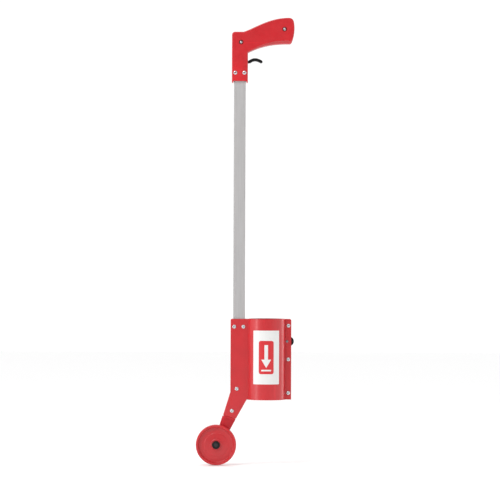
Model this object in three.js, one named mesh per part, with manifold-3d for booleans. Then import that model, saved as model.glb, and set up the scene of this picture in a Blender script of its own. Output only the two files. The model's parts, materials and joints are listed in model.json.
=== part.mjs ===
// A hand-held marking wand for inverted spray cans, in millimetres, +Z up.
// +X runs from the tube to the can, and -Y is the side that shows the label.
import * as THREE from 'three';
import { mergeVertices } from 'three/addons/utils/BufferGeometryUtils.js';
import Module from 'manifold-3d';

const wasm = await Module();
wasm.setup();

// Driving dimensions. The tube's axis is x = 0, y = 0 and the wheel's lowest point is z = 0.
const GAP = 0.3;
const SPLIT = 0.15;
const GRIP_ORIGIN = new THREE.Vector3(60, 0, 837);

const TUBE = { half: 11.4, wall: 1.2, corner: 1.6, bottom: 212, top: 766 };
const SOCKET_HALF = TUBE.half + GAP;

const HANDLE = { halfWidth: 15.5, halfDepth: 14.6, wall: 2.6, round: 2.5, bottom: 738.4, top: 836.2 };
const HANDLE_MOUTH = 741.3;
const HANDLE_FLOOR = 768.7;
const GRIP_SCREWS = [['handle_screw_elbow', 2.2, 816.3], ['handle_screw_grip', 86.1, 841.3]];
const SCREW = { headRadius: 3.5, shankRadius: 1.8, boreRadius: 2.1, recessRadius: 4.4, recess: 5 };

const SPINE = { halfWidth: 16.1, halfDepth: 14.3, wall: 2.8, round: 1.2, corner: 3, top: 282.7 };
const HOLDER = { x: 52.7, outer: 37, inner: 34.8, bottom: 127 };
const SEAT = { bottom: 172, top: 175, inner: 25 };
const FLANGE = { left: 80, right: 101.2, halfDepth: 4.6, corner: 3.5 };
const ELBOW = { left: [-16.1, 141.6], right: [15.4, 127] };
const LEG_END = { left: [-29.8, 97.4], right: [-5.2, 90.1] };
const CHAMBER_TOP = 208.4;
const LEVER_WINDOW = { halfWidth: 6.5, bottom: 132, top: 160 };

const RIVET = { headRadius: 3.8, headHeight: 1.6, shankRadius: 1.6, boreRadius: 1.9, pitRadius: 1.4 };
const SLEEVE_RIVET = { x: 8.7, z: 757.1 };
const SPINE_RIVET = { x: 8.9, z: 267.7 };
const LEG_RIVET = { x: -13, z: 105.5 };
const FLANGE_RIVET_X = 95.3;
const FLANGE_RIVET_HEIGHTS = [269.7, 204.5, 139.9];

const TRIGGER_PIVOT = { x: -3.6, z: 779 };
const LEVER_PIVOT = { x: -3.6, z: 148 };
const REST_ANGLE = THREE.MathUtils.degToRad(6);
const CRANK = 8.2;
const CRANK_DROP = CRANK * Math.tan(REST_ANGLE);
const LINK = { halfWidth: 3, hubRadius: 6, crankRadius: 4.4, rodHole: 1.9, pinHole: 2.2 };
const ROD = { x: TRIGGER_PIVOT.x + CRANK, y: -5, radius: 1.5, tail: 4.6, hole: 1.9 };
const GUIDE = { half: TUBE.half - TUBE.wall - GAP, flangeHalf: TUBE.half, insert: 6, flange: 2 };
const COLLAR = { bottom: 174.7, top: 177.7, radius: 4.6 };
const SPRING = { radius: 4, wire: 0.5, turns: 9 };
const PADDLE = { outer: 13, inner: 7, halfThickness: 2, barHalf: 3 };

const CAM = { x: 93, z: 239.4, radius: 9.4, offset: 3.9, halfThickness: 2.5, pocketRadius: 14.6 };
const LABEL = { radius: 37.3, thickness: 0.3, halfChord: 24.9, bottom: 157.6, top: 260.8 };

const WHEEL = { x: -43.4, z: 39, radius: 39 };
const AXLE = { radius: 3, bore: 3.3, bossRadius: 10, bossFront: 6.4, bossBack: 13.6 };
const ARM = { front: 6.2, back: 12.6, neck: 2.6, neckInset: 1.2 };

const RED = '#cf3a43';
const paint = (color, roughness, metalness) =>
  new THREE.MeshStandardMaterial({ color, roughness, metalness });
const redPlastic = paint(RED, 0.42, 0);
const blackPlastic = paint('#161617', 0.5, 0);
const aluminium = paint('#c3c3c4', 0.38, 0.9);
const zincSteel = paint('#c9ccd0', 0.3, 0.95);
const greySteel = paint('#8b8e92', 0.35, 0.9);
const springSteel = paint('#9fa3a8', 0.3, 0.95);
const whiteNylon = paint('#e9e6de', 0.5, 0);
const whiteLabel = paint('#f2f2f1', 0.45, 0);

const wand = new THREE.Group();
wand.position.copy(GRIP_ORIGIN).negate();

// ---- Solids ----

function toSolid(geometry) {
  const bare = geometry.clone();
  bare.deleteAttribute('normal');
  bare.deleteAttribute('uv');
  const merged = mergeVertices(bare, 1e-4);
  const corners = merged.index.array;
  const triangles = [];
  for (let i = 0; i < corners.length; i += 3) {
    const [a, b, c] = [corners[i], corners[i + 1], corners[i + 2]];
    if (a !== b && b !== c && c !== a) triangles.push(a, b, c);
  }
  const vertProperties = merged.attributes.position.array;
  return new wasm.Manifold(new wasm.Mesh({ numProp: 3, vertProperties, triVerts: new Uint32Array(triangles) }));
}

function join(...solids) {
  return solids.reduce((whole, solid) => whole.add(solid));
}

function cut(solid, ...tools) {
  return tools.reduce((rest, tool) => rest.subtract(tool), solid);
}

// A box between two corners.
function block([x0, y0, z0], [x1, y1, z1]) {
  const geometry = new THREE.BoxGeometry(x1 - x0, y1 - y0, z1 - z0);
  geometry.translate((x0 + x1) / 2, (y0 + y1) / 2, (z0 + z1) / 2);
  return toSolid(geometry);
}

// An outline in X and Z that becomes a slab between two Y values, with its long edges rounded.
function slab(outline, front, back, round = 0, inset = 0) {
  const rounded = round + inset > 0;
  const geometry = new THREE.ExtrudeGeometry(outline, {
    depth: back - front - 2 * round,
    bevelEnabled: rounded,
    bevelThickness: round,
    bevelSize: round,
    bevelOffset: -round - inset,
    bevelSegments: 2,
    curveSegments: 8,
  });
  geometry.rotateX(Math.PI / 2);
  geometry.translate(0, back - round, 0);
  return toSolid(geometry);
}

// An outline in X and Y that becomes a column between two heights.
function column(outline, bottom, top, curveSegments = 8) {
  const geometry = new THREE.ExtrudeGeometry(outline, {
    depth: top - bottom,
    bevelEnabled: false,
    curveSegments,
  });
  geometry.translate(0, 0, bottom);
  return toSolid(geometry);
}

// A round bar along Y.
function crossBar(x, z, radius, front, back, sides = 20) {
  const geometry = new THREE.CylinderGeometry(radius, radius, back - front, sides);
  geometry.translate(x, (front + back) / 2, z);
  return toSolid(geometry);
}

// A round bar along Z.
function uprightBar(x, y, radius, bottom, top, sides = 20) {
  const geometry = new THREE.CylinderGeometry(radius, radius, top - bottom, sides);
  geometry.rotateX(Math.PI / 2);
  geometry.translate(x, y, (bottom + top) / 2);
  return toSolid(geometry);
}

// A profile of [radius, y] pairs turned about the Y axis.
function turned(profile, sides = 32) {
  const points = profile.map(([radius, y]) => new THREE.Vector2(radius, y));
  return toSolid(new THREE.LatheGeometry(points, sides));
}

function ring(outer, inner, front, back, sides = 24) {
  return turned([[inner, front], [outer, front], [outer, back], [inner, back], [inner, front]], sides);
}

function polygon(points) {
  return new THREE.Shape(points.map(([x, y]) => new THREE.Vector2(x, y)));
}

function squareOutline(half, corner) {
  const shape = new THREE.Shape();
  const inner = half - corner;
  shape.absarc(inner, inner, corner, 0, Math.PI / 2);
  shape.absarc(-inner, inner, corner, Math.PI / 2, Math.PI);
  shape.absarc(-inner, -inner, corner, Math.PI, 1.5 * Math.PI);
  shape.absarc(inner, -inner, corner, 1.5 * Math.PI, 2 * Math.PI);
  return shape;
}

function frontHalf(solid) {
  return solid.subtract(block([-500, -SPLIT, -500], [500, 500, 1500]));
}

function rearHalf(solid) {
  return solid.subtract(block([-500, -500, -500], [500, SPLIT, 1500]));
}

function addPiece(name, solid, material, x = 0, z = 0) {
  const { vertProperties, triVerts } = solid.getMesh();
  const geometry = new THREE.BufferGeometry();
  geometry.setAttribute('position', new THREE.BufferAttribute(vertProperties, 3));
  geometry.setIndex(new THREE.BufferAttribute(triVerts, 1));
  geometry.computeVertexNormals();
  const piece = new THREE.Mesh(geometry, material);
  piece.name = name;
  piece.position.set(x, 0, z);
  wand.add(piece);
  return piece;
}

// ---- Fasteners ----

// A rivet through a stack of the given half thickness, with a pit in its front head.
function rivet(halfStack) {
  const { headRadius, headHeight, shankRadius, pitRadius } = RIVET;
  const seat = halfStack + 0.1;
  const front = -seat - headHeight;
  return turned([
    [0, front + 0.8],
    [pitRadius, front + 0.8],
    [pitRadius, front],
    [headRadius * 0.72, front + 0.15],
    [headRadius * 0.92, front + 0.6],
    [headRadius, -seat],
    [shankRadius, -seat],
    [shankRadius, seat],
    [headRadius * 0.85, seat],
    [headRadius * 0.85, seat + 0.7],
    [headRadius * 0.55, seat + 1.3],
    [0, seat + 1.3],
  ], 16);
}

function addRivets() {
  for (const side of [-1, 1]) {
    const word = side < 0 ? 'left' : 'right';
    addPiece(`sleeve_rivet_${word}`, rivet(HANDLE.halfDepth), zincSteel, side * SLEEVE_RIVET.x, SLEEVE_RIVET.z);
    addPiece(`spine_rivet_${word}`, rivet(SPINE.halfDepth), zincSteel, side * SPINE_RIVET.x, SPINE_RIVET.z);
  }
  addPiece('elbow_rivet', rivet(SPINE.halfDepth), zincSteel, LEVER_PIVOT.x, LEVER_PIVOT.z);
  addPiece('leg_rivet', rivet(SPINE.halfDepth), zincSteel, LEG_RIVET.x, LEG_RIVET.z);
  FLANGE_RIVET_HEIGHTS.forEach((height, index) => {
    addPiece(`flange_rivet_${index + 1}`, rivet(FLANGE.halfDepth), zincSteel, FLANGE_RIVET_X, height);
  });
}

function addHandleScrews() {
  const seat = -HANDLE.halfDepth + SCREW.recess - GAP;
  for (const [name, x, z] of GRIP_SCREWS) {
    const screw = turned([
      [0, seat - 1.5],
      [1.2, seat - 1.5],
      [1.6, seat - 2.4],
      [2.6, seat - 2.2],
      [SCREW.headRadius, seat - 1],
      [SCREW.headRadius, seat],
      [SCREW.shankRadius, seat],
      [SCREW.shankRadius, 9],
      [0, 9.6],
    ], 16);
    addPiece(name, screw, zincSteel, x, z);
  }
}

// ---- Handle ----

function handleOutline() {
  const { halfWidth, bottom, top } = HANDLE;
  const corner = 5.5;
  const gripTop = 863.3;
  const gripBottom = 813;
  const shape = new THREE.Shape();
  shape.moveTo(-halfWidth, bottom);
  shape.lineTo(halfWidth, bottom);
  shape.lineTo(halfWidth, 796.3);
  shape.bezierCurveTo(46.1, 811.5, 71, gripBottom, 94.5, gripBottom);
  shape.quadraticCurveTo(99.3, gripBottom, 100.9, 818.8);
  shape.bezierCurveTo(105, 830, 106.2, 843, 104, 855);
  shape.quadraticCurveTo(102.4, gripTop, 94, gripTop);
  shape.bezierCurveTo(55, gripTop, 26.2, 841.9, 7, top);
  shape.lineTo(-halfWidth + corner, top);
  shape.absarc(-halfWidth + corner, top - corner, corner, Math.PI / 2, Math.PI);
  return shape;
}

function handleBody() {
  const { halfDepth, wall, round, halfWidth } = HANDLE;
  const outline = handleOutline();
  const outside = slab(outline, -halfDepth, halfDepth, round);
  const hollow = slab(outline, -halfDepth + wall, halfDepth - wall, 0.6, wall);
  const belowFloor = block([-50, -50, 700], [50, 50, HANDLE_FLOOR]);
  const socket = block([-SOCKET_HALF, -SOCKET_HALF, 700], [SOCKET_HALF, SOCKET_HALF, HANDLE_FLOOR + 1]);
  const slot = block([10, -6.5, 770.5], [halfWidth + 5, 6.5, 787.5]);
  const mouthCut = block([-12.4, -50, 700], [12.4, 50, HANDLE_MOUTH]);
  let body = cut(outside, hollow.subtract(belowFloor), socket, slot, mouthCut);
  for (const side of [-1, 1]) {
    body = body.subtract(crossBar(side * SLEEVE_RIVET.x, SLEEVE_RIVET.z, RIVET.boreRadius, -50, 50));
  }
  return body;
}

// Bosses reach from the walls to the split: two for the screws and one pair for the trigger pin.
function handleBosses() {
  const inner = HANDLE.halfDepth - HANDLE.wall / 2;
  const bosses = [];
  for (const [, x, z] of GRIP_SCREWS) {
    bosses.push(crossBar(x, z, SCREW.recessRadius + 1.8, -inner, 0));
    bosses.push(crossBar(x, z, SCREW.boreRadius + 2.2, 0, inner));
  }
  const pinBossEnd = LINK.halfWidth + 0.4;
  bosses.push(crossBar(TRIGGER_PIVOT.x, TRIGGER_PIVOT.z, 4.6, -inner, -pinBossEnd));
  bosses.push(crossBar(TRIGGER_PIVOT.x, TRIGGER_PIVOT.z, 4.6, pinBossEnd, inner));
  return join(...bosses);
}

function addHandle() {
  const recessFloor = -HANDLE.halfDepth + SCREW.recess;
  let body = handleBody().add(handleBosses());
  for (const [, x, z] of GRIP_SCREWS) {
    body = cut(
      body,
      crossBar(x, z, SCREW.recessRadius, -50, recessFloor),
      crossBar(x, z, SCREW.boreRadius, -50, 10),
    );
  }
  body = body.subtract(crossBar(TRIGGER_PIVOT.x, TRIGGER_PIVOT.z, LINK.pinHole + 0.1, -12, 12));
  addPiece('handle_front_shell', frontHalf(body), redPlastic);
  addPiece('handle_rear_shell', rearHalf(body), redPlastic);
}

// ---- Trigger linkage ----

// The finger blade is an arched ribbon of even thickness.
function bladeOutline() {
  const arch = new THREE.SplineCurve([
    new THREE.Vector2(17.6, 778.2),
    new THREE.Vector2(22, 780.9),
    new THREE.Vector2(28, 782.9),
    new THREE.Vector2(34.4, 782),
    new THREE.Vector2(41.4, 778.8),
  ]);
  const halfThickness = 3;
  const steps = 12;
  const above = [];
  const below = [];
  for (let i = 0; i <= steps; i += 1) {
    const point = arch.getPoint(i / steps);
    const along = arch.getTangent(i / steps);
    above.push([point.x - along.y * halfThickness, point.y + along.x * halfThickness]);
    below.push([point.x + along.y * halfThickness, point.y - along.x * halfThickness]);
  }
  return polygon([...below, ...above.reverse()]);
}

function addTrigger() {
  const { x, z } = TRIGGER_PIVOT;
  const web = polygon([[x, z - 5.6], [12, 775], [20, 776.6], [20, 781], [12, 781], [x, z + 5.6]]);
  const body = join(
    slab(web, -LINK.halfWidth, LINK.halfWidth),
    crossBar(x, z, LINK.hubRadius, -LINK.halfWidth, LINK.halfWidth),
    slab(bladeOutline(), -6, 6, 1.2),
  );
  const trigger = cut(
    body,
    crossBar(x, z, LINK.pinHole, -10, 10),
    crossBar(ROD.x, z - CRANK_DROP, LINK.rodHole, -10, 10),
  );
  addPiece('trigger', trigger, blackPlastic);
  addPiece('trigger_pin', crossBar(x, z, LINK.pinHole - 0.3, -11.6, 11.6), greySteel);
}

function addPullRod() {
  const top = TRIGGER_PIVOT.z - CRANK_DROP;
  const bottom = LEVER_PIVOT.z - CRANK_DROP;
  const { x, y, radius, tail } = ROD;
  const bars = [uprightBar(x, y, radius, bottom, top, 16)];
  for (const height of [bottom, top]) {
    const bend = new THREE.SphereGeometry(radius, 16, 10);
    bend.translate(x, y, height);
    bars.push(toSolid(bend), crossBar(x, height, radius, y, tail, 16));
  }
  addPiece('pull_rod', join(...bars), zincSteel);
  const collar = uprightBar(x, y, COLLAR.radius, COLLAR.bottom, COLLAR.top);
  const bore = uprightBar(x, y, radius + GAP, COLLAR.bottom - 1, COLLAR.top + 1);
  addPiece('spring_collar', collar.subtract(bore), greySteel);
}

// A guide plugs the tube's end: an insert inside the tube and a flange against its end face.
function addRodGuide(name, tubeEnd, outward) {
  const insert = [tubeEnd + outward * GAP, tubeEnd - outward * GUIDE.insert].sort((a, b) => a - b);
  const flange = [tubeEnd + outward * GAP, tubeEnd + outward * (GAP + GUIDE.flange)].sort((a, b) => a - b);
  const body = join(
    column(squareOutline(GUIDE.half, 1), ...insert),
    column(squareOutline(GUIDE.flangeHalf, 1), ...flange),
  );
  addPiece(name, body.subtract(uprightBar(ROD.x, ROD.y, ROD.hole, 0, 900)), whiteNylon);
}

class CoilCurve extends THREE.Curve {
  constructor(bottom, top) {
    super();
    this.bottom = bottom;
    this.top = top;
  }

  getPoint(t) {
    const angle = t * SPRING.turns * 2 * Math.PI;
    const x = ROD.x + SPRING.radius * Math.cos(angle);
    const y = ROD.y + SPRING.radius * Math.sin(angle);
    return new THREE.Vector3(x, y, this.bottom + t * (this.top - this.bottom));
  }
}

function addRodSpring() {
  const clearance = SPRING.wire + 0.3;
  const flangeBottom = TUBE.bottom - GAP - GUIDE.flange;
  const extrudePath = new CoilCurve(COLLAR.top + clearance, flangeBottom - clearance);
  const section = new THREE.Shape().absarc(0, 0, SPRING.wire, 0, 2 * Math.PI);
  const geometry = new THREE.ExtrudeGeometry(section, {
    extrudePath,
    steps: SPRING.turns * 9,
    curveSegments: 3,
  });
  addPiece('rod_spring', toSolid(geometry), springSteel);
}

function addLever() {
  const reach = HOLDER.x - LEVER_PIVOT.x;
  const { halfWidth, hubRadius, crankRadius, pinHole, rodHole } = LINK;
  const crank = CRANK / Math.cos(REST_ANGLE);
  const padHalf = PADDLE.halfThickness;
  const body = join(
    crossBar(0, 0, hubRadius, -halfWidth, halfWidth),
    crossBar(crank, 0, crankRadius, -halfWidth, halfWidth),
    block([0, -halfWidth, -PADDLE.barHalf], [reach - PADDLE.inner - 1, halfWidth, PADDLE.barHalf]),
    uprightBar(reach, 0, PADDLE.outer, -padHalf, padHalf, 40),
  );
  const lever = cut(
    body,
    crossBar(0, 0, pinHole, -10, 10),
    crossBar(crank, 0, rodHole, -10, 10),
    uprightBar(reach, 0, PADDLE.inner, -10, 10, 32),
  );
  const piece = addPiece('actuator_lever', lever, blackPlastic, LEVER_PIVOT.x, LEVER_PIVOT.z);
  piece.rotation.y = REST_ANGLE;
}

// ---- Tube ----

function addTube() {
  const outline = squareOutline(TUBE.half, TUBE.corner);
  outline.holes.push(squareOutline(TUBE.half - TUBE.wall, TUBE.corner - TUBE.wall + 0.2));
  let tube = column(outline, TUBE.bottom, TUBE.top, 4);
  for (const side of [-1, 1]) {
    tube = cut(
      tube,
      crossBar(side * SLEEVE_RIVET.x, SLEEVE_RIVET.z, RIVET.boreRadius, -50, 50),
      crossBar(side * SPINE_RIVET.x, SPINE_RIVET.z, RIVET.boreRadius, -50, 50),
    );
  }
  addPiece('shaft_tube', tube, aluminium);
}

// ---- Can housing ----

function unit([x0, z0], [x1, z1]) {
  const length = Math.hypot(x1 - x0, z1 - z0);
  return [(x1 - x0) / length, (z1 - z0) / length];
}

// The way down the leg, square to the line across its end.
const LEG_ACROSS = unit(LEG_END.left, LEG_END.right);
const LEG_DOWN = [LEG_ACROSS[1], -LEG_ACROSS[0]];

// The point on one edge of the leg, at a distance past the leg's end.
function legPoint(side, distance) {
  const edge = unit(ELBOW[side], LEG_END[side]);
  const scale = distance / (edge[0] * LEG_DOWN[0] + edge[1] * LEG_DOWN[1]);
  return [LEG_END[side][0] + edge[0] * scale, LEG_END[side][1] + edge[1] * scale];
}

// Points round a top left corner, from its upper end to its lower end.
function roundCorner(left, top, radius) {
  return [0, 1, 2, 3, 4].map((step) => {
    const angle = Math.PI / 2 + (step * Math.PI) / 8;
    return [left + radius + radius * Math.cos(angle), top - radius + radius * Math.sin(angle)];
  });
}

// The spine and the leg, from the points of the top left corner down past the leg's end by a distance,
// and over to a right edge.
function spineOutline(corner, right, top, beyond) {
  return polygon([
    ...corner,
    ELBOW.left,
    legPoint('left', beyond),
    legPoint('right', beyond),
    ELBOW.right,
    [right, HOLDER.bottom],
    [right, top],
  ]);
}

function flangeOutline() {
  const { left, right, corner } = FLANGE;
  const shape = new THREE.Shape();
  shape.moveTo(left, HOLDER.bottom);
  shape.lineTo(right, HOLDER.bottom);
  shape.lineTo(right, SPINE.top - corner);
  shape.absarc(right - corner, SPINE.top - corner, corner, 0, Math.PI / 2);
  shape.lineTo(left, SPINE.top);
  return shape;
}

function housingBlank() {
  const { halfWidth, halfDepth, round, top } = SPINE;
  const corner = roundCorner(-halfWidth, top, SPINE.corner);
  const spine = slab(spineOutline(corner, 22, top, 0), -halfDepth, halfDepth, round);
  const holder = uprightBar(HOLDER.x, 0, HOLDER.outer, HOLDER.bottom, top, 80);
  const flange = slab(flangeOutline(), -FLANGE.halfDepth, FLANGE.halfDepth, 0.8);
  const bore = uprightBar(HOLDER.x, 0, HOLDER.inner, 0, 400, 80);
  const seat = uprightBar(HOLDER.x, 0, HOLDER.inner + 1, SEAT.bottom, SEAT.top, 80);
  const seatHole = uprightBar(HOLDER.x, 0, SEAT.inner, 0, 400, 64);
  return join(spine, holder, flange).subtract(bore).add(seat.subtract(seatHole));
}

function housingHollows() {
  const { halfDepth, wall } = SPINE;
  const { halfWidth, bottom, top } = LEVER_WINDOW;
  const chamberTop = CHAMBER_TOP + wall;
  const corner = [[-SPINE.halfWidth, chamberTop]];
  const chamberOutline = spineOutline(corner, SPINE.halfWidth, chamberTop, 12);
  return join(
    slab(chamberOutline, -halfDepth + wall, halfDepth - wall, 0.4, wall),
    block([-SOCKET_HALF, -SOCKET_HALF, CHAMBER_TOP - 1], [SOCKET_HALF, SOCKET_HALF, 400]),
    block([5, -halfWidth, bottom], [HOLDER.x, halfWidth, top]),
    crossBar(CAM.x, CAM.z, CAM.pocketRadius, -CAM.halfThickness - GAP, CAM.halfThickness + GAP, 40),
  );
}

function housingBores() {
  const bores = [crossBar(CAM.x, CAM.z, RIVET.boreRadius, -9, 9)];
  for (const height of FLANGE_RIVET_HEIGHTS) {
    bores.push(crossBar(FLANGE_RIVET_X, height, RIVET.boreRadius, -9, 9));
  }
  const throughSpine = [
    [-SPINE_RIVET.x, SPINE_RIVET.z],
    [SPINE_RIVET.x, SPINE_RIVET.z],
    [LEVER_PIVOT.x, LEVER_PIVOT.z],
    [LEG_RIVET.x, LEG_RIVET.z],
  ];
  for (const [x, z] of throughSpine) {
    bores.push(crossBar(x, z, RIVET.boreRadius, -50, 50));
  }
  return join(...bores);
}

function addHousing() {
  const inner = SPINE.halfDepth - SPINE.wall / 2;
  const bossEnd = LINK.halfWidth + 0.4;
  const body = join(
    housingBlank().subtract(housingHollows()),
    crossBar(LEVER_PIVOT.x, LEVER_PIVOT.z, 4.6, -inner, -bossEnd),
    crossBar(LEVER_PIVOT.x, LEVER_PIVOT.z, 4.6, bossEnd, inner),
  ).subtract(housingBores());
  addPiece('housing_front_shell', frontHalf(body), redPlastic);
  addPiece('housing_rear_shell', rearHalf(body), redPlastic);
}

function addLabel() {
  const { radius, thickness, halfChord, bottom, top } = LABEL;
  const spread = Math.asin(halfChord / (radius + thickness));
  const front = -Math.PI / 2;
  const shape = new THREE.Shape();
  shape.absarc(HOLDER.x, 0, radius + thickness, front - spread, front + spread, false);
  shape.absarc(HOLDER.x, 0, radius, front + spread, front - spread, true);
  addPiece('can_label', column(shape, bottom, top, 14), whiteLabel);
}

// ---- Can lock ----

function addCamLock() {
  const { x, z, radius, offset, halfThickness } = CAM;
  const disc = crossBar(offset, 0, radius, -halfThickness, halfThickness, 48);
  addPiece('cam_lock', disc.subtract(crossBar(0, 0, RIVET.boreRadius, -9, 9)), blackPlastic, x, z);
  const seat = FLANGE.halfDepth + 0.1;
  const headHeight = 0.8;
  const pin = turned([
    [0, -seat - headHeight],
    [2.1, -seat - headHeight],
    [2.5, -seat - 0.4],
    [2.5, -seat],
    [RIVET.shankRadius, -seat],
    [RIVET.shankRadius, seat],
    [2.5, seat],
    [2.5, seat + headHeight],
    [0, seat + headHeight],
  ], 16);
  addPiece('cam_pin', pin, greySteel, x, z);
}

// ---- Wheel ----

function armOutline() {
  const boss = AXLE.bossRadius;
  const overhang = 0.7;
  const [leftX, leftZ] = legPoint('left', ARM.neck);
  const [rightX, rightZ] = legPoint('right', ARM.neck);
  return polygon([
    [leftX - overhang, leftZ],
    [-36.9, 77.2],
    [WHEEL.x - boss * 0.98, WHEEL.z + boss * 0.2],
    [WHEEL.x + boss * 0.9, WHEEL.z - boss * 0.4],
    [-16.1, 68.5],
    [rightX + overhang, rightZ],
  ]);
}

// A point on one side of the arm's neck, which is narrower than the leg.
function neckPoint(side, distance) {
  const inward = side === 'left' ? ARM.neckInset : -ARM.neckInset;
  const [x, z] = legPoint(side, distance);
  return [x + inward * LEG_ACROSS[0], z + inward * LEG_ACROSS[1]];
}

function addWheelArm() {
  const tongueInset = SPINE.wall + 0.4;
  const tongueOutline = polygon([
    legPoint('left', -26),
    legPoint('left', ARM.neck + tongueInset),
    legPoint('right', ARM.neck + tongueInset),
    legPoint('right', -26),
  ]);
  const neckOutline = polygon([
    neckPoint('left', GAP),
    neckPoint('left', ARM.neck + 0.2),
    neckPoint('right', ARM.neck + 0.2),
    neckPoint('right', GAP),
  ]);
  const body = join(
    slab(tongueOutline, -11, 11, 0.4, tongueInset),
    slab(neckOutline, -12.9, 12.9, 0.5),
    slab(armOutline(), ARM.front, ARM.back, 0.8),
    crossBar(WHEEL.x, WHEEL.z, AXLE.bossRadius, AXLE.bossFront, AXLE.bossBack, 40),
  );
  const arm = cut(
    body,
    crossBar(WHEEL.x, WHEEL.z, AXLE.bore, -20, 30),
    crossBar(LEG_RIVET.x, LEG_RIVET.z, RIVET.boreRadius, -50, 50),
  );
  addPiece('wheel_arm', arm, redPlastic);
}

function addWheel() {
  const outer = WHEEL.radius;
  const profile = [
    [5.3, -6.8],
    [10.5, -6.8],
    [11.6, -5.4],
    [22.5, -4.8],
    [23.2, -4.2],
    [32.6, -4.2],
    [33.9, -5],
    [34.4, -8.2],
    [35.2, -9],
    [outer - 0.9, -9],
    [outer, -8.1],
    [outer, 4.1],
    [outer - 0.9, 5],
    [35, 5],
    [34.2, 4.2],
    [34.2, -0.8],
    [11, -0.8],
    [10.5, 4.9],
    [5.3, 4.9],
    [5.3, -6.8],
  ];
  addPiece('wheel', turned(profile, 56), redPlastic, WHEEL.x, WHEEL.z);
  addPiece('wheel_bush', ring(5, AXLE.bore, -6.6, 4.7), whiteNylon, WHEEL.x, WHEEL.z);
}

function addHubCap() {
  const cap = turned([
    [0, -13],
    [4.4, -13],
    [4.8, -12.6],
    [6.6, -12.4],
    [7.8, -11.2],
    [7.8, -7.1],
    [7.1, -7.1],
    [7.1, -11.7],
    [0, -11.7],
  ], 28);
  addPiece('hub_cap', cap, blackPlastic, WHEEL.x, WHEEL.z);
}

function addAxle() {
  const { radius, bore, bossFront, bossBack } = AXLE;
  const threadEnd = bossBack + 7;
  const bolt = turned([
    [0, -11.2],
    [5, -11.2],
    [5, -8.4],
    [radius, -8.4],
    [radius, threadEnd],
    [0, threadEnd],
  ]);
  addPiece('axle_bolt', bolt, zincSteel, WHEEL.x, WHEEL.z);
  addPiece('axle_washer_front', ring(6.8, bore, -8.1, -7.1), zincSteel, WHEEL.x, WHEEL.z);
  addPiece('axle_washer_middle', ring(6.8, bore, bossFront - 1.2, bossFront - 0.3), zincSteel, WHEEL.x, WHEEL.z);
  addPiece('axle_washer_rear', ring(6.8, bore, bossBack + 0.3, bossBack + 1.3), zincSteel, WHEEL.x, WHEEL.z);
  const nutAcrossCorners = 5.8;
  const nut = crossBar(0, 0, nutAcrossCorners, bossBack + 1.6, bossBack + 6, 6);
  addPiece('axle_nut', nut.subtract(crossBar(0, 0, bore, 0, 50)), zincSteel, WHEEL.x, WHEEL.z);
}

addHandle();
addHandleScrews();
addTrigger();
addTube();
addRodGuide('upper_rod_guide', TUBE.top, 1);
addRodGuide('lower_rod_guide', TUBE.bottom, -1);
addPullRod();
addRodSpring();
addLever();
addHousing();
addLabel();
addCamLock();
addRivets();
addWheelArm();
addWheel();
addHubCap();
addAxle();

export default wand;
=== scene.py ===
import json
import math

import bmesh
import bpy
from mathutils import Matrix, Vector


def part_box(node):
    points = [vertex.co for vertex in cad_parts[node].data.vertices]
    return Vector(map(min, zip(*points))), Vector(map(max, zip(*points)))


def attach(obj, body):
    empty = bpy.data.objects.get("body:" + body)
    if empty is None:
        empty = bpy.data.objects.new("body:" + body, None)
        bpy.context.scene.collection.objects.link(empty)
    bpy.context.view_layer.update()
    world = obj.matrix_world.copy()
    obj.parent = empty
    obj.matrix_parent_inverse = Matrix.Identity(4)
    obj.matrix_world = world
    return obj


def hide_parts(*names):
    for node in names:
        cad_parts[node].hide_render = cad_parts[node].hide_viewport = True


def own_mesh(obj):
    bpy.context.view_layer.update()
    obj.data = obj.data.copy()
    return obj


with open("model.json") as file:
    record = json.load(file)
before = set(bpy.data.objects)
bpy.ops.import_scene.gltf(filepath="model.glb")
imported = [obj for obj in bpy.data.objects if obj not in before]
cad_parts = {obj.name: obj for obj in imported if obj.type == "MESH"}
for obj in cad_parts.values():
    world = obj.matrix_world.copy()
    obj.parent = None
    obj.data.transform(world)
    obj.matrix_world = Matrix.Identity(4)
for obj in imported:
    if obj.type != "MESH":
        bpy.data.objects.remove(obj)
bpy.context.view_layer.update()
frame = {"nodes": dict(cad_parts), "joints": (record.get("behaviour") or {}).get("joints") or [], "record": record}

# A marking wand: handle and trigger at the top, then the tube, the can housing and the wheel.
# Shapes below are in millimetres from the tube's axis and the wheel's lowest point.
MM = 0.001
tube_low, tube_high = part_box("shaft_tube")
wheel_low, wheel_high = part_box("wheel")
BASE = Vector(((tube_low.x + tube_high.x) / 2, (tube_low.y + tube_high.y) / 2, wheel_low.z))


def centre_mm(node):
    """The middle of a CAD node, in millimetres from BASE."""
    low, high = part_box(node)
    return ((low + high) / 2 - BASE) / MM


def edge_mm(node):
    """The lowest and highest corners of a CAD node, in millimetres from BASE."""
    low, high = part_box(node)
    return (low - BASE) / MM, (high - BASE) / MM


SPLIT = 0.15
HANDLE_LOW, HANDLE_HIGH = edge_mm("handle_front_shell")
HANDLE_HALF_WIDTH = -HANDLE_LOW.x
HANDLE_HALF_DEPTH = -HANDLE_LOW.y
WHEEL = centre_mm("wheel")
HOLDER_X = centre_mm("can_label").x
HOLDER_RADIUS = -edge_mm("housing_front_shell")[0].y

RED = (0.53, 0.011, 0.017, 1)
# A darker copy of RED, used as painted shade on the recessed wheel arm.
SHADED_RED = (0.48, 0.006, 0.015, 1)
BLACK = (0.004, 0.004, 0.0045, 1)
FRONT_GLOW = 0.2
SIDE_GLOW = 1.06


# ---- Materials ----

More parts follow.
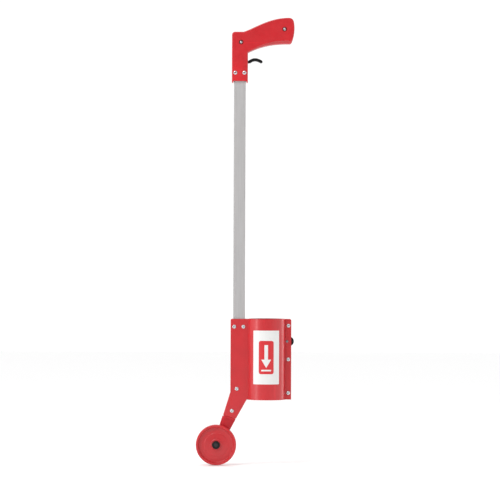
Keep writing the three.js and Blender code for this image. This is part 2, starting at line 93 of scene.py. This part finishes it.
def new_material(name, color, roughness, metallic=0.0, **sockets):
    material = bpy.data.materials.new(name)
    material.use_nodes = True
    shader = material.node_tree.nodes["Principled BSDF"]
    shader.inputs["Base Color"].default_value = color
    shader.inputs["Roughness"].default_value = roughness
    shader.inputs["Metallic"].default_value = metallic
    for socket, value in sockets.items():
        shader.inputs[socket.replace("_", " ")].default_value = value
    return material, material.node_tree, shader


def noise(tree, scale, stretch=(1, 1, 1), detail=3.0):
    """A noise over the object's own coordinates, stretched along its axes."""
    place = tree.nodes.new("ShaderNodeTexCoord")
    mapping = tree.nodes.new("ShaderNodeMapping")
    mapping.inputs["Scale"].default_value = stretch
    texture = tree.nodes.new("ShaderNodeTexNoise")
    texture.inputs["Scale"].default_value = scale
    texture.inputs["Detail"].default_value = detail
    tree.links.new(place.outputs["Object"], mapping.inputs["Vector"])
    tree.links.new(mapping.outputs["Vector"], texture.inputs["Vector"])
    return texture.outputs["Fac"]


def ramp(tree, value, low, high, start=0.3, end=0.7):
    """A value spread over a range of greys or colours."""
    node = tree.nodes.new("ShaderNodeValToRGB")
    node.color_ramp.elements[0].position = start
    node.color_ramp.elements[1].position = end
    node.color_ramp.elements[0].color = low
    node.color_ramp.elements[1].color = high
    tree.links.new(value, node.inputs["Fac"])
    return node.outputs["Color"]


def grey(value):
    return (value, value, value, 1)


def shade(color, factor):
    return (*[min(1.0, part * factor) for part in color[:3]], 1)


def add_bump(tree, shader, value, strength, distance):
    bump = tree.nodes.new("ShaderNodeBump")
    bump.inputs["Strength"].default_value = strength
    bump.inputs["Distance"].default_value = distance
    tree.links.new(value, bump.inputs["Height"])
    tree.links.new(bump.outputs["Normal"], shader.inputs["Normal"])


def painted_edge_highlight(tree, color, highlight_color):
    """The colour, paler along sharp convex edges: a painted highlight on the edges."""
    geometry = tree.nodes.new("ShaderNodeNewGeometry")
    edges = ramp(tree, geometry.outputs["Pointiness"], grey(0), grey(1), 0.53, 0.6)
    mix = tree.nodes.new("ShaderNodeMix")
    mix.data_type = "RGBA"
    tree.links.new(edges, mix.inputs["Factor"])
    tree.links.new(color, mix.inputs["A"])
    mix.inputs["B"].default_value = highlight_color
    return mix.outputs["Result"]


def moulded_plastic(name, color, roughness, grain, edge_highlight=1.18, gloss=0.5, coat=0.0):
    """Moulded plastic: cloudy colour, uneven gloss, a fine grain and a painted highlight along its edges."""
    material, tree, shader = new_material(name, color, roughness, Specular_IOR_Level=gloss, Coat_Weight=coat,
                                          Coat_Roughness=0.25)
    cloud = ramp(tree, noise(tree, 38), shade(color, 0.95), shade(color, 1.05))
    # Paler edges here are a painted highlight, not wear.
    tree.links.new(painted_edge_highlight(tree, cloud, shade(color, edge_highlight)), shader.inputs["Base Color"])
    uneven = ramp(tree, noise(tree, 90), grey(roughness - 0.05), grey(roughness + 0.06))
    tree.links.new(uneven, shader.inputs["Roughness"])
    add_bump(tree, shader, noise(tree, 1900, detail=2.0), grain, 0.00004)
    return material


def drawn_metal(name, color, roughness, streaks, metallic=1.0):
    """Metal with fine streaks along its length or round its head."""
    material, tree, shader = new_material(name, color, roughness, metallic)
    lines = noise(tree, 160, streaks, 4.0)
    tint = ramp(tree, lines, shade(color, 0.9), shade(color, 1.08))
    uneven = ramp(tree, lines, grey(roughness - 0.06), grey(roughness + 0.08))
    tree.links.new(tint, shader.inputs["Base Color"])
    tree.links.new(uneven, shader.inputs["Roughness"])
    add_bump(tree, shader, lines, 0.12, 0.00003)
    return material


# In the moulded_plastic calls the fifth value lightens the edges, which is a painted highlight.
MATERIALS = {
    "red_plastic": moulded_plastic("red_plastic", RED, 0.34, 0.2, coat=0.4),
    "deep_red_plastic": moulded_plastic("deep_red_plastic", SHADED_RED, 0.38, 0.22),
    "black_plastic": moulded_plastic("black_plastic", BLACK, 0.4, 0.35, 2.2, 0.28),
    "cap_plate": moulded_plastic("cap_plate", (0.025, 0.022, 0.026, 1), 0.45, 0.3, 1.6, 0.4),
    "tube_aluminium": drawn_metal("tube_aluminium", (0.46, 0.45, 0.45, 1), 0.55, (14, 14, 0.12), 0.3),
    "zinc_steel": drawn_metal("zinc_steel", (0.66, 0.69, 0.71, 1), 0.2, (3, 3, 3)),
    "grey_steel": drawn_metal("grey_steel", (0.24, 0.26, 0.28, 1), 0.34, (3, 3, 3)),
    "spring_steel": drawn_metal("spring_steel", (0.5, 0.52, 0.55, 1), 0.3, (3, 3, 3)),
    "white_nylon": moulded_plastic("white_nylon", (0.8, 0.78, 0.73, 1), 0.45, 0.15, 1.05),
    "label_vinyl": moulded_plastic("label_vinyl", (0.77, 0.77, 0.76, 1), 0.33, 0.08, 1.0),
}


# ---- Mesh helpers ----

def link_mesh(name, bm, material, smooth_angle=32):
    """A new object from a bmesh, smooth except where its faces meet at more than the angle."""
    bmesh.ops.remove_doubles(bm, verts=bm.verts, dist=1e-7)
    bmesh.ops.recalc_face_normals(bm, faces=bm.faces)
    mesh = bpy.data.meshes.new(name)
    bm.to_mesh(mesh)
    bm.free()
    mesh.shade_smooth()
    mesh.set_sharp_from_angle(angle=math.radians(smooth_angle))
    piece = bpy.data.objects.new(name, mesh)
    bpy.context.scene.collection.objects.link(piece)
    mesh.materials.append(MATERIALS[material])
    return piece


def to_frame(x, y, z):
    return BASE + Vector((x, y, z)) * MM


def soften(points, radius, closed=False, steps=4):
    """The outline with each corner rounded off, as far as the sides beside it allow."""
    count = len(points)
    result = []
    for i, point in enumerate(points):
        if not closed and i in (0, count - 1):
            result.append(Vector(point))
            continue
        here = Vector(point[:2])
        before = Vector(points[i - 1][:2]) - here
        after = Vector(points[(i + 1) % count][:2]) - here
        reach = point[2] if len(point) > 2 else radius
        reach = min(reach, before.length * 0.48, after.length * 0.48)
        if reach <= 0:
            result.append(here)
            continue
        start = here + before.normalized() * reach
        end = here + after.normalized() * reach
        for step in range(steps + 1):
            t = step / steps
            result.append(start * (1 - t) ** 2 + here * 2 * t * (1 - t) + end * t ** 2)
    return result


def bezier(a, b, c, d, steps):
    """Points along a cubic curve, without its first one."""
    a, b, c, d = Vector(a), Vector(b), Vector(c), Vector(d)
    points = []
    for step in range(1, steps + 1):
        t = step / steps
        u = 1 - t
        points.append(a * u ** 3 + b * 3 * u * u * t + c * 3 * u * t * t + d * t ** 3)
    return points


def arc(centre, radius, start, end, steps):
    """Points along a circle's arc, between two angles in degrees."""
    angles = [math.radians(start + (end - start) * i / steps) for i in range(steps + 1)]
    return [Vector((centre[0] + radius * math.cos(a), centre[1] + radius * math.sin(a))) for a in angles]


def turned(name, profile, centre, material, sides=96, corner=0.25):
    """A profile of (radius, y) turned about a line along Y: a closed loop, or one that ends on the line."""
    closed = profile[0][0] > 0
    points = soften(profile, corner, closed)
    bm = bmesh.new()
    rings = []
    for radius, y in points:
        if radius < 1e-6:
            rings.append([bm.verts.new(to_frame(centre.x, y, centre.z))] * sides)
            continue
        rings.append([])
        for side in range(sides):
            angle = 2 * math.pi * side / sides
            spot = (centre.x + radius * math.cos(angle), y, centre.z + radius * math.sin(angle))
            rings[-1].append(bm.verts.new(to_frame(*spot)))
    pairs = list(zip(rings, rings[1:]))
    if closed:
        pairs.append((rings[-1], rings[0]))
    for low, high in pairs:
        for side in range(sides):
            corners = (low[side], low[side - 1], high[side - 1], high[side])
            corners = tuple(dict.fromkeys(corners))
            bm.faces.new(corners)
    return link_mesh(name, bm, material)


def inward_normals(outline):
    """At each point of an anticlockwise outline, the way in, scaled so that the sides move evenly."""
    normals = []
    for i, point in enumerate(outline):
        before = (point - outline[i - 1]).normalized()
        after = (outline[(i + 1) % len(outline)] - point).normalized()
        normal = Vector((-before.y - after.y, before.x + after.x)).normalized()
        spread = max(0.5, Vector((-after.y, after.x)).dot(normal))
        normals.append(normal / spread)
    return normals


def round_edge(size, steps=4):
    """The edge's steps as (inset, depth) pairs, from the side wall to the face."""
    angles = [math.pi / 2 * step / steps for step in range(steps + 1)]
    return [(size * (1 - math.cos(a)), size * (1 - math.sin(a))) for a in angles]


def slab(name, outline, front, back, front_edges, back_edge, material):
    """An outline in X and Z made into a slab between two Y values.

    front_edges holds one list of (inset, depth) pairs for each point of the outline.
    back_edge is one list for all the points.
    """
    normals = inward_normals(outline)
    bm = bmesh.new()
    rings = []
    for step in reversed(range(len(front_edges[0]))):
        spots = []
        for point, normal, edge in zip(outline, normals, front_edges):
            inset, depth = edge[step]
            spot = point + normal * inset
            spots.append(bm.verts.new(to_frame(spot.x, front + depth, spot.y)))
        rings.append(spots)
    for inset, depth in back_edge:
        spots = []
        for point, normal in zip(outline, normals):
            spot = point + normal * inset
            spots.append(bm.verts.new(to_frame(spot.x, back - depth, spot.y)))
        rings.append(spots)
    for low, high in zip(rings, rings[1:]):
        for i in range(len(outline)):
            bm.faces.new((low[i - 1], low[i], high[i], high[i - 1]))
    bm.faces.new(rings[0])
    bm.faces.new(rings[-1])
    return link_mesh(name, bm, material)


def cutter_box(low, high):
    bm = bmesh.new()
    bmesh.ops.create_cube(bm, size=1)
    for vert in bm.verts:
        parts = [low[i] if vert.co[i] < 0 else high[i] for i in range(3)]
        vert.co = to_frame(*parts)
    return link_mesh("cutter", bm, "red_plastic")


def cutter_bar(x, z, radius, front, back):
    return turned("cutter", [(0, front), (radius, front), (radius, back), (0, back)], Vector((x, 0, z)),
                  "red_plastic", 64, 0)


def cut(piece, *tools):
    """Cuts the tools out of the piece and removes them."""
    for tool in tools:
        modifier = piece.modifiers.new("cut", "BOOLEAN")
        modifier.operation = "DIFFERENCE"
        modifier.solver = "EXACT"
        modifier.object = tool
    evaluated = piece.evaluated_get(bpy.context.evaluated_depsgraph_get())
    mesh = bpy.data.meshes.new_from_object(evaluated)
    piece.modifiers.clear()
    piece.data = mesh
    for tool in tools:
        bpy.data.objects.remove(tool)
    mesh.shade_smooth()
    mesh.set_sharp_from_angle(angle=math.radians(32))


def bevel_edges(piece, width, segments=2, angle=35):
    bevel = piece.modifiers.new("edge_rounding", "BEVEL")
    bevel.width = width * MM
    bevel.segments = segments
    bevel.limit_method = "ANGLE"
    bevel.angle_limit = math.radians(angle)


def weigh_normals(piece):
    """Flat faces stay flat, and only the edges between them turn smoothly."""
    normals = piece.modifiers.new("flat_faces_first", "WEIGHTED_NORMAL")
    normals.keep_sharp = True


def stands_for(piece, *nodes, body="wand", slot="red_plastic"):
    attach(piece, body)
    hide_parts(*nodes)
    weigh_normals(piece)
    return piece


# ---- Handle ----

def handle_outline():
    """The outline, anticlockwise, with 1 for each point on the grip's underside and 0 elsewhere."""
    half, bottom = HANDLE_HALF_WIDTH, HANDLE_LOW.z
    top, grip_top, grip_bottom, corner = 836.2, HANDLE_HIGH.z, 813, 6
    points = [Vector((x, bottom)) for x in (-half, -half * 0.4, half * 0.4, half)]
    points += [Vector((half, bottom + rise)) for rise in (8, 20, 32, 44)]
    start = (half, 796.3)
    points.append(Vector(start))
    under_start = len(points)
    points += bezier(start, (46.1, 811.5), (71, grip_bottom), (94.5, grip_bottom), 40)
    points += bezier((94.5, grip_bottom), (98, grip_bottom), (99.7, 815), (100.9, 818.8), 12)
    under_end = len(points)
    points += bezier((100.9, 818.8), (105, 830), (106.2, 843), (104, 855), 20)
    points += bezier((104, 855), (102.9, 860.5), (99.5, grip_top), (94, grip_top), 12)
    points += bezier((94, grip_top), (55, grip_top), (26.2, 841.9), (7, top), 40)
    points += arc((-half + corner, top - corner), corner, 90, 180, 10)
    points += [Vector((-half, height)) for height in (815, 797, 779, 760)]
    weights = []
    for i in range(len(points)):
        into = min(1, max(0, (i - under_start) / 26))
        out = min(1, max(0, (under_end - i) / 7))
        weights.append(min(into, out) if under_start <= i < under_end else 0)
    return points, weights


def handle_edges(weights):
    """A small round edge all along, widening into a flat band with a crease along the grip's underside."""
    small = round_edge(2.2, 5)
    band = [(0, 7), (1.4, 4.6), (3.2, 2.9), (5.3, 1.5), (5.7, 0.4), (6.1, 0)]
    edges = []
    for weight in weights:
        edges.append([
            (a[0] * (1 - weight) + b[0] * weight, a[1] * (1 - weight) + b[1] * weight)
            for a, b in zip(small, band)
        ])
    return edges


def mirror_y(piece):
    """Turns a front piece into its rear twin."""
    for vert in piece.data.vertices:
        vert.co.y = 2 * BASE.y - vert.co.y
    piece.data.flip_normals()


def make_handle():
    outline, weights = handle_outline()
    half = HANDLE_HALF_DEPTH
    for name, front in (("handle_front_shell", True), ("handle_rear_shell", False)):
        skin = f"{name}_skin"
        shell = slab(skin, outline, -half, -SPLIT, handle_edges(weights), round_edge(0.35, 2), "red_plastic")
        tube_socket = cutter_box((-11.7, -11.7, 700), (11.7, 5, 769))
        linkage_room = cutter_box((-12.9, -12, 768.9), (12.9, 5, 792))
        trigger_slot = cutter_box((10, -6.5, 770.5), (20, 5, 787.5))
        mouth = cutter_box((-12.4, -50, 700), (12.4, 5, HANDLE_LOW.z + 2.9))
        tools = [tube_socket, linkage_room, trigger_slot, mouth]
        if front:
            for screw in ("handle_screw_elbow", "handle_screw_grip"):
                spot = centre_mm(screw)
                tools.append(cutter_bar(spot.x, spot.z, 4.4, -50, -half + 5))
        cut(shell, *tools)
        if not front:
            mirror_y(shell)
        bevel_edges(shell, 0.25, 2, 50)
        stands_for(shell, name)


def make_screws():
    for name in ("handle_screw_elbow", "handle_screw_grip"):
        spot = centre_mm(name)
        seat = -HANDLE_HALF_DEPTH + 4.7
        profile = [
            (0, seat - 3.3), (1.2, seat - 3.25), (2.3, seat - 2.9), (3.2, seat - 2.1), (3.5, seat - 1.3),
            (3.5, seat), (1.8, seat), (1.8, 9), (0, 9.6),
        ]
        head = turned(f"{name}_detail", profile, spot, "zinc_steel", 64, 0.35)
        cut(head, *cross_slots(spot, seat - 3.6, seat - 1.9))
        stands_for(head, name, slot="zinc_steel")


def cross_slots(spot, front, back):
    half_long, half_wide = 1.5, 0.36
    slots = []
    for reach_x, reach_z in ((half_long, half_wide), (half_wide, half_long)):
        low = (spot.x - reach_x, front, spot.z - reach_z)
        high = (spot.x + reach_x, back, spot.z + reach_z)
        slots.append(cutter_box(low, high))
    return slots


# ---- Trigger, levers and spring ----

def ribbon_outline(spine, thickness):
    """An even ribbon along a row of points, with round ends."""
    half = thickness / 2
    upper, lower = [], []
    for i, point in enumerate(spine):
        along = (spine[min(i + 1, len(spine) - 1)] - spine[max(i - 1, 0)]).normalized()
        side = Vector((-along.y, along.x)) * half
        upper.append(point + side)
        lower.append(point - side)
    last = spine[-1] - spine[-2]
    heading = math.degrees(math.atan2(last.y, last.x))
    cap = [spine[-1] + Vector((math.cos(a), math.sin(a))) * half
           for a in (math.radians(heading - 60), math.radians(heading - 20), math.radians(heading + 20),
                     math.radians(heading + 60))]
    cap = [spine[-1] + (spot - spine[-1]) * 0.86 for spot in cap]
    return lower + cap + upper[::-1]


def make_trigger():
    spine = [Vector((17.6, 778.2))]
    spine += bezier((17.6, 778.2), (21.6, 780.9), (24.4, 783), (29.4, 782.9), 14)
    spine += bezier((29.4, 782.9), (34, 782.8), (37.6, 780.8), (41.4, 778.8), 12)
    outline = ribbon_outline(spine, 5.8)
    blade_edge = round_edge(1.6, 4)
    blade = slab("trigger_blade", outline, -6, 6, [blade_edge] * len(outline), blade_edge, "black_plastic")
    pivot = centre_mm("trigger_pin")
    web_points = [
        (pivot.x, pivot.z - 5.6), (12, 775), (20, 776.6), (20, 781), (12, 781), (pivot.x, pivot.z + 5.6),
    ]
    web_outline = soften(web_points, 0.8, True, 3)
    web_edge = round_edge(0.5, 3)
    web = slab("trigger_web", web_outline, -3, 3, [web_edge] * len(web_outline), web_edge, "black_plastic")
    hub = turned("trigger_hub", [(2.2, -3), (6, -3), (6, 3), (2.2, 3)], pivot, "black_plastic", 64, 0.4)
    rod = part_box("pull_rod")
    rod_x = ((rod[0].x + rod[1].x) / 2 - BASE.x) / MM
    rod_z = (rod[1].z - BASE.z) / MM - 1.5
    cut(web, cutter_bar(pivot.x, pivot.z, 2.2, -10, 10), cutter_bar(rod_x, rod_z, 1.9, -10, 10))
    stands_for(blade, "trigger", body="trigger", slot="black_plastic")
    for extra in (web, hub):
        weigh_normals(extra)
        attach(extra, "trigger")


def make_spring():
    low, high = edge_mm("rod_spring")
    rod = centre_mm("pull_rod")
    middle = (low + high) / 2
    wire, turns, steps, sides = 0.5, 9, 40, 12
    radius = (high.x - low.x) / 2 - wire
    bottom, top = low.z + wire, high.z - wire
    bm = bmesh.new()
    rings = []
    for step in range(turns * steps + 1):
        t = step / (turns * steps)
        angle = 2 * math.pi * turns * t
        outward = Vector((math.cos(angle), math.sin(angle), 0))
        heart = Vector((rod.x, middle.y, bottom + (top - bottom) * t)) + outward * radius
        ring = []
        for side in range(sides):
            turn = 2 * math.pi * side / sides
            spot = heart + outward * wire * math.cos(turn) + Vector((0, 0, 1)) * wire * math.sin(turn)
            ring.append(bm.verts.new(to_frame(*spot)))
        rings.append(ring)
    for low_ring, high_ring in zip(rings, rings[1:]):
        for side in range(sides):
            bm.faces.new((low_ring[side - 1], low_ring[side], high_ring[side], high_ring[side - 1]))
    bm.faces.new(rings[0])
    bm.faces.new(rings[-1])
    coil = stands_for(link_mesh("rod_spring_wire", bm, "spring_steel"), "rod_spring", slot="spring_steel")
    slide = next(joint for joint in frame["joints"] if joint["name"] == "rod_slide")
    fixed_end = slide["deforming_nodes"][0]["fixed_end_z_m"]
    anchor = to_frame(rod.x, middle.y, 0)
    anchor.z = fixed_end
    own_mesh(coil)


# ---- Rivets ----

def make_rivets():
    for node in sorted(frame["nodes"]):
        if "rivet" not in node:
            continue
        spot = centre_mm(node)
        low, high = edge_mm(node)
        front, back = low.y, high.y
        seat, tail = front + 1.6, back - 1.3
        profile = [
            (0, front + 2.6), (1.2, front + 2.6), (1.45, front + 0.2), (2.1, front), (3.05, front + 0.3),
            (3.7, front + 1.0), (3.8, seat), (1.6, seat), (1.6, tail), (3.2, tail), (3.2, tail + 0.7),
            (2.2, back), (0, back),
        ]
        stands_for(turned(f"{node}_detail", profile, spot, "zinc_steel", 64, 0.3), node, slot="zinc_steel")


# ---- Label ----

def holder_patch(name, outline, inner, outer, material):
    """A thin sheet round the holder, between two radii, from an outline of (distance round, height)."""
    bm = bmesh.new()
    bm.faces.new([bm.verts.new((point.x, 0, point.y)) for point in outline])
    reach = max(abs(point.x) for point in outline)
    for cut_x in range(-int(reach), int(reach) + 1, 2):
        everything = bm.verts[:] + bm.edges[:] + bm.faces[:]
        bmesh.ops.bisect_plane(bm, geom=everything, plane_co=(cut_x, 0, 0), plane_no=(1, 0, 0))
    sheet = bmesh.ops.extrude_face_region(bm, geom=bm.faces[:])
    lifted = {item for item in sheet["geom"] if isinstance(item, bmesh.types.BMVert)}
    for vert in bm.verts:
        radius = outer if vert in lifted else inner
        angle = vert.co.x / HOLDER_RADIUS
        vert.co = to_frame(HOLDER_X + radius * math.sin(angle), -radius * math.cos(angle), vert.co.z)
    return link_mesh(name, bm, material, 40)


def rounded_panel(half_width, low, high, corner):
    corners = [(-half_width, low), (half_width, low), (half_width, high), (-half_width, high)]
    return soften(corners, corner, True, 6)


def make_label():
    low, high = edge_mm("can_label")
    half_chord = (high.x - low.x) / 2
    half_width = math.asin(half_chord / (HOLDER_RADIUS + 0.6)) * HOLDER_RADIUS
    skin = HOLDER_RADIUS + 0.05
    film = rounded_panel(half_width, low.z, high.z, 1.2)
    sheet = holder_patch("can_label_film", film, skin, skin + 0.22, "label_vinyl")
    stands_for(sheet, "can_label", slot="label_vinyl")
    middle = (low.z + high.z) / 2
    printed = skin + 0.2
    inked = printed + 0.04
    field = rounded_panel(14.6, middle - 32, middle + 32, 5)
    panel = holder_patch("label_panel", field, printed, printed + 0.06, "red_plastic")
    arrow = [(-3.4, 24), (-3.4, -4), (-9.5, -4), (0, -20), (9.5, -4), (3.4, -4), (3.4, 24)]
    arrow = [Vector((x, middle + z)) for x, z in arrow]
    pointer = holder_patch("label_arrow", arrow, inked, printed + 0.1, "label_vinyl")
    stroke = rounded_panel(9.5, middle - 26.5, middle - 23.5, 1)
    bar = holder_patch("label_bar", stroke, inked, printed + 0.1, "label_vinyl")
    for mark in (panel, pointer, bar):
        weigh_normals(mark)
        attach(mark, "wand")


# ---- Can lock ----

def make_cam():
    low, high = edge_mm("cam_lock")
    spot = (low + high) / 2
    pin = centre_mm("cam_pin")
    radius = (high.x - low.x) / 2
    notches, points_each, depth = 36, 6, 0.35
    count = notches * points_each
    outline = []
    for i in range(count):
        angle = 2 * math.pi * i / count
        reach = radius - depth * (0.5 - 0.5 * math.cos(notches * angle))
        outline.append(Vector((spot.x + reach * math.cos(angle), spot.z + reach * math.sin(angle))))
    edges = [round_edge(0.5, 3)] * count
    disc = slab("cam_lock_disc", outline, low.y, high.y, edges, round_edge(0.5, 3), "black_plastic")
    cut(disc, cutter_bar(pin.x, pin.z, 1.9, -10, 10))
    stands_for(disc, "cam_lock", body="cam", slot="black_plastic")


# ---- Wheel ----

def make_wheel():
    outer = WHEEL.z
    profile = [
        (5.3, -6.8), (10.2, -6.8), (11.6, -5.3), (16.5, -5.0), (22.4, -4.75), (23.1, -4.2), (28, -4.1),
        (32.4, -4.2), (33.7, -5.1), (34.2, -7.9), (35, -9), (outer - 0.9, -9), (outer, -8.1), (outer, -2),
        (outer, 4.1), (outer - 0.9, 5), (35, 5), (34.2, 4.2), (34.2, -0.8), (11, -0.8), (10.5, 4.9),
        (5.3, 4.9),
    ]
    stands_for(turned("wheel_moulding", profile, WHEEL, "red_plastic", 160, 0.7), "wheel", body="wheel")
    cap = [
        (0, -12.75), (3.9, -12.75), (4.5, -13), (5, -12.8), (5.3, -12.35), (6.5, -12.2), (7.8, -10.9),
        (7.8, -7.1),
        (7.1, -7.1), (7.1, -11.5), (0, -11.6),
    ]
    stands_for(turned("hub_cap_moulding", cap, WHEEL, "black_plastic", 96, 0.35), "hub_cap", body="wheel",
               slot="black_plastic")
    plate = [(0, -12.95), (3.3, -12.95), (3.7, -12.7), (3.7, -12.4), (0, -12.4)]
    disc = turned("hub_cap_centre", plate, WHEEL, "cap_plate", 96, 0.15)
    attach(disc, "wheel")


# ---- CAD nodes that stay ----

def smooth_group():
    """Smooth shading, with edges over 30 degrees kept sharp."""
    group = bpy.data.node_groups.new("smooth_by_angle", "GeometryNodeTree")
    group.interface.new_socket("Geometry", in_out="INPUT", socket_type="NodeSocketGeometry")
    group.interface.new_socket("Geometry", in_out="OUTPUT", socket_type="NodeSocketGeometry")
    nodes, links = group.nodes, group.links
    start = nodes.new("NodeGroupInput")
    faces = nodes.new("GeometryNodeSetShadeSmooth")
    edges = nodes.new("GeometryNodeSetShadeSmooth")
    edges.domain = "EDGE"
    edges.inputs["Shade Smooth"].default_value = False
    angle = nodes.new("GeometryNodeInputMeshEdgeAngle")
    sharp = nodes.new("FunctionNodeCompare")
    sharp.operation = "GREATER_THAN"
    sharp.inputs["B"].default_value = math.radians(30)
    end = nodes.new("NodeGroupOutput")
    links.new(start.outputs[0], faces.inputs["Geometry"])
    links.new(faces.outputs["Geometry"], edges.inputs["Geometry"])
    links.new(angle.outputs["Unsigned Angle"], sharp.inputs["A"])
    links.new(sharp.outputs["Result"], edges.inputs["Selection"])
    links.new(edges.outputs["Geometry"], end.inputs[0])
    return group


def finish_cad_nodes():
    group = smooth_group()
    slots = {entry["node"]: entry["material_slot"] for entry in frame["record"]["subparts"]}
    for name, node in frame["nodes"].items():
        # The wheel arm gets the darker red copy, which is painted shade for its recess.
        material = "deep_red_plastic" if name == "wheel_arm" else slots[name]
        node.data.materials.clear()
        node.data.materials.append(MATERIALS[material])
        weld = node.modifiers.new("weld", "WELD")
        weld.merge_threshold = 1e-6
        flat = node.modifiers.new("flat_faces", "DECIMATE")
        flat.decimate_type = "DISSOLVE"
        flat.angle_limit = math.radians(0.4)
        bevel_edges(node, 0.35)
        smooth = node.modifiers.new("smooth", "NODES")
        smooth.node_group = group
        weigh_normals(node)


# ---- Floor, light and camera ----

def make_floor():
    bm = bmesh.new()
    half, lift = 6.0, -0.0005
    for x, y in ((-half, -half), (half, -half), (half, half), (-half, half)):
        bm.verts.new((BASE.x + x, BASE.y + y, BASE.z + lift))
    bm.faces.new(bm.verts[:])
    material, _, _ = new_material("pale_floor", (0.99, 0.99, 0.99, 1), 0.9)
    MATERIALS["pale_floor"] = material
    link_mesh("floor", bm, "pale_floor")


def softbox(name, place, aim, width, height, power):
    lamp = bpy.data.lights.new(name, "AREA")
    lamp.shape = "RECTANGLE"
    lamp.size = width
    lamp.size_y = height
    lamp.energy = power
    holder = bpy.data.objects.new(name, lamp)
    holder.location = place
    holder.rotation_euler = (aim - place).to_track_quat("-Z", "Y").to_euler()
    bpy.context.scene.collection.objects.link(holder)


def around(aim, azimuth, distance, rise):
    """A place at an angle round the object: 0 is the camera's side and 90 is the object's +X side."""
    angle = math.radians(azimuth)
    return aim + Vector((math.sin(angle) * distance, -math.cos(angle) * distance, rise))


def make_world():
    """A white studio that is dimmer behind the camera than behind the object."""
    world = bpy.data.worlds.new("studio")
    world.use_nodes = True
    tree = world.node_tree
    place = tree.nodes.new("ShaderNodeTexCoord")
    parts = tree.nodes.new("ShaderNodeSeparateXYZ")
    depth = tree.nodes.new("ShaderNodeMapRange")
    depth.inputs["From Min"].default_value = -0.97
    depth.inputs["From Max"].default_value = -0.5
    depth.inputs["To Min"].default_value = FRONT_GLOW
    depth.inputs["To Max"].default_value = SIDE_GLOW
    tree.links.new(place.outputs["Generated"], parts.inputs["Vector"])
    tree.links.new(parts.outputs["Y"], depth.inputs["Value"])
    tree.links.new(depth.outputs["Result"], tree.nodes["Background"].inputs["Strength"])
    tree.nodes["Background"].inputs["Color"].default_value = (1, 1, 1, 1)
    bpy.context.scene.world = world


def make_light():
    make_world()
    middle = to_frame(20, 0, 430)
    softbox("left_strip", around(middle, -60, 1.7, 0.1), middle, 0.34, 1.8, 8)
    softbox("right_strip", around(middle, 118, 1.7, 0.1), middle, 0.4, 1.6, 3.5)
    softbox("top_box", around(middle, -32, 1.5, 1.6), middle, 1.1, 0.9, 15)


def make_camera():
    distance, view_x, view_height, width, roll = 5.4, 20.8, 415.5, 0.966, -0.22
    lens = bpy.data.cameras.new("camera")
    lens.sensor_width = 36
    lens.lens = lens.sensor_width * distance / width
    camera = bpy.data.objects.new("camera", lens)
    camera.location = to_frame(view_x, 0, view_height) + Vector((0, -distance, 0))
    camera.rotation_euler = (math.radians(90), math.radians(roll), 0)
    bpy.context.scene.collection.objects.link(camera)
    bpy.context.scene.camera = camera
    bpy.context.scene.view_settings.view_transform = "Standard"


make_camera()
finish_cad_nodes()
make_handle()
make_screws()
make_trigger()
make_spring()
make_rivets()
make_label()
make_cam()
make_wheel()
make_floor()
make_light()
